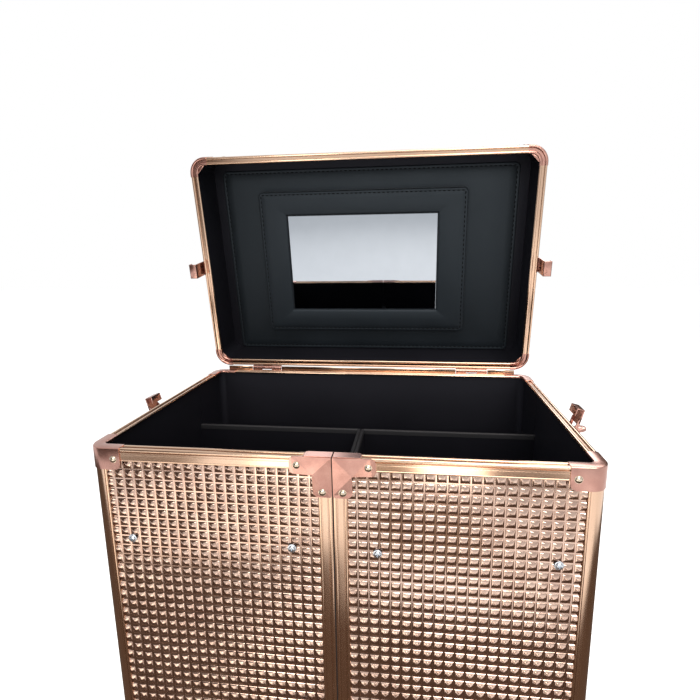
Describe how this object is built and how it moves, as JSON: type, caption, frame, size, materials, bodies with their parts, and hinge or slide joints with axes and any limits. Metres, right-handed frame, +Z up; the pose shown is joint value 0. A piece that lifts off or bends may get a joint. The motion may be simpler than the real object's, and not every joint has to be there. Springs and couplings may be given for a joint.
{
  "type": "rolling grooming box",
  "caption": "Upright rolling case with a mirrored hinged lid, swing-out front halves, shelves, draw latches, wheels and a telescopic pull handle.",
  "frame": {"origin": "on the floor, at the middle of the bounding box's underside, with the lid open", "axes": "+Z up, front towards -Y, the seam between the two front halves in the plane X = 0"},
  "size_m": [0.4532, 0.3362, 0.8463],
  "materials": {
    "lined_board": "black-lined board",
    "rose_aluminium": "rose gold anodised",
    "pyramid_panel": "glossy, pyramid-embossed",
    "copper_plated_steel": "copper plated",
    "zinc_plated_steel": "bright zinc",
    "tube_aluminium": "satin",
    "moulded_plastic": "fine texture",
    "tyre_rubber": "smooth tread",
    "foot_rubber": "matt",
    "padded_lining": "stitched black leatherette",
    "mirror_glass": "silvered"
  },
  "bodies": {
    "rear_case": {"base_plinth": "lined_board", "base_skirt": "rose_aluminium", "front_feet": "foot_rubber", "wheel_housings": "moulded_plastic", "wheel_axles": "zinc_plated_steel", "rear_box": "lined_board", "rear_shelves": "lined_board", "rear_frame": "rose_aluminium", "rear_corner_caps": "copper_plated_steel", "rear_panels": "pyramid_panel", "lid_hinge_lower_leaves": "copper_plated_steel", "door_hinge_rear_leaves": "rose_aluminium", "hinge_pins": "zinc_plated_steel", "handle_guide_tubes": "tube_aluminium", "handle_brackets": "moulded_plastic"},
    "left_half": {"left_door_box": "lined_board", "left_door_frame": "rose_aluminium", "left_corner_post": "rose_aluminium", "left_panels": "pyramid_panel", "left_brackets": "copper_plated_steel", "left_rivets": "rose_aluminium", "left_panel_screws": "zinc_plated_steel", "left_tool_rail": "moulded_plastic", "left_hinge_leaves": "rose_aluminium", "left_latch_base": "copper_plated_steel", "lock_escutcheon": "copper_plated_steel"},
    "left_lever": {"left_latch_lever": "copper_plated_steel"},
    "left_claw": {"left_latch_claw": "copper_plated_steel"},
    "left_wheel": {"left_tyre": "tyre_rubber", "left_hub": "moulded_plastic"},
    "right_half": {"right_door_box": "lined_board", "right_door_frame": "rose_aluminium", "right_corner_post": "rose_aluminium", "right_panels": "pyramid_panel", "right_brackets": "copper_plated_steel", "right_rivets": "rose_aluminium", "right_panel_screws": "zinc_plated_steel", "right_tool_rail": "moulded_plastic", "right_hinge_leaves": "rose_aluminium", "right_latch_base": "copper_plated_steel"},
    "right_lever": {"right_latch_lever": "copper_plated_steel"},
    "right_claw": {"right_latch_claw": "copper_plated_steel"},
    "right_wheel": {"right_tyre": "tyre_rubber", "right_hub": "moulded_plastic"},
    "lock_turn": {"lock_knob": "rose_aluminium"},
    "lid": {"lid_box": "lined_board", "lid_frame": "rose_aluminium", "lid_corners": "copper_plated_steel", "lid_panels": "pyramid_panel", "lid_lining": "padded_lining", "mirror_surround": "padded_lining", "mirror_glass": "mirror_glass", "lid_keepers": "copper_plated_steel", "lid_hinge_upper_leaves": "copper_plated_steel", "lid_handle_sockets": "copper_plated_steel"},
    "carry_handle": {"lid_handle": "copper_plated_steel"},
    "pull_middle": {"handle_middle_tubes": "tube_aluminium"},
    "pull_inner": {"handle_inner_tubes": "tube_aluminium", "handle_grip": "moulded_plastic"},
    "release_button": {"handle_button": "moulded_plastic"}
  },
  "joints": [
    {"name": "left_half_hinge", "type": "hinge", "parent": "rear_case", "child": "left_half", "pos_m": [-0.203, 0.0379, 0.2875], "axis": [0, 0, -1], "range_deg": [0, 110]},
    {"name": "right_half_hinge", "type": "hinge", "parent": "rear_case", "child": "right_half", "pos_m": [0.203, 0.0379, 0.2875], "axis": [0, 0, 1], "range_deg": [0, 110]},
    {"name": "lid_hinge", "type": "hinge", "parent": "rear_case", "child": "lid", "pos_m": [0, 0.1079, 0.578], "axis": [-1, 0, 0], "range_deg": [-80.7, 12]},
    {"name": "carry_handle_swing", "type": "hinge", "parent": "lid", "child": "carry_handle", "pos_m": [0, 0.15525, 0.71951], "axis": [1, 0, 0], "range_deg": [0, 180]},
    {"name": "lock_rotation", "type": "hinge", "parent": "left_half", "child": "lock_turn", "pos_m": [-0.026, -0.1531, 0.31], "axis": [0, 1, 0], "range_deg": [0, 90]},
    {"name": "pull_stage_one", "type": "slide", "parent": "rear_case", "child": "pull_middle", "axis": [0, 0, 1], "range_m": [0, 0.049]},
    {"name": "pull_stage_two", "type": "slide", "parent": "pull_middle", "child": "pull_inner", "axis": [0, 0, 1], "range_m": [0, 0.049]},
    {"name": "release_button_press", "type": "slide", "parent": "pull_inner", "child": "release_button", "axis": [0, 0, -1], "range_m": [0, 0.003], "stiffness_N_per_m": 400, "springref_m": -0.002},
    {"name": "left_latch_lever_turn", "type": "hinge", "parent": "left_half", "child": "left_lever", "pos_m": [-0.207, -0.0241, 0.551], "axis": [0, 1, 0], "range_deg": [-100, 20]},
    {"name": "left_latch_claw_turn", "type": "hinge", "parent": "left_lever", "child": "left_claw", "pos_m": [-0.21198, -0.0241, 0.55442], "axis": [0, -1, 0], "range_deg": [-116, 24]},
    {"name": "left_wheel_spin", "type": "hinge", "parent": "rear_case", "child": "left_wheel", "pos_m": [-0.17, 0.0909, 0.028], "axis": [1, 0, 0], "continuous": true},
    {"name": "right_latch_lever_turn", "type": "hinge", "parent": "right_half", "child": "right_lever", "pos_m": [0.207, -0.0241, 0.551], "axis": [0, -1, 0], "range_deg": [-100, 20]},
    {"name": "right_latch_claw_turn", "type": "hinge", "parent": "right_lever", "child": "right_claw", "pos_m": [0.21198, -0.0241, 0.55442], "axis": [0, 1, 0], "range_deg": [-116, 24]},
    {"name": "right_wheel_spin", "type": "hinge", "parent": "rear_case", "child": "right_wheel", "pos_m": [0.17, 0.0909, 0.028], "axis": [1, 0, 0], "continuous": true}
  ],
  "couplings": [
    {"joint": "left_latch_claw_turn", "follows": "left_latch_lever_turn", "ratio": 1.16},
    {"joint": "right_latch_claw_turn", "follows": "right_latch_lever_turn", "ratio": 1.16}
  ]
}
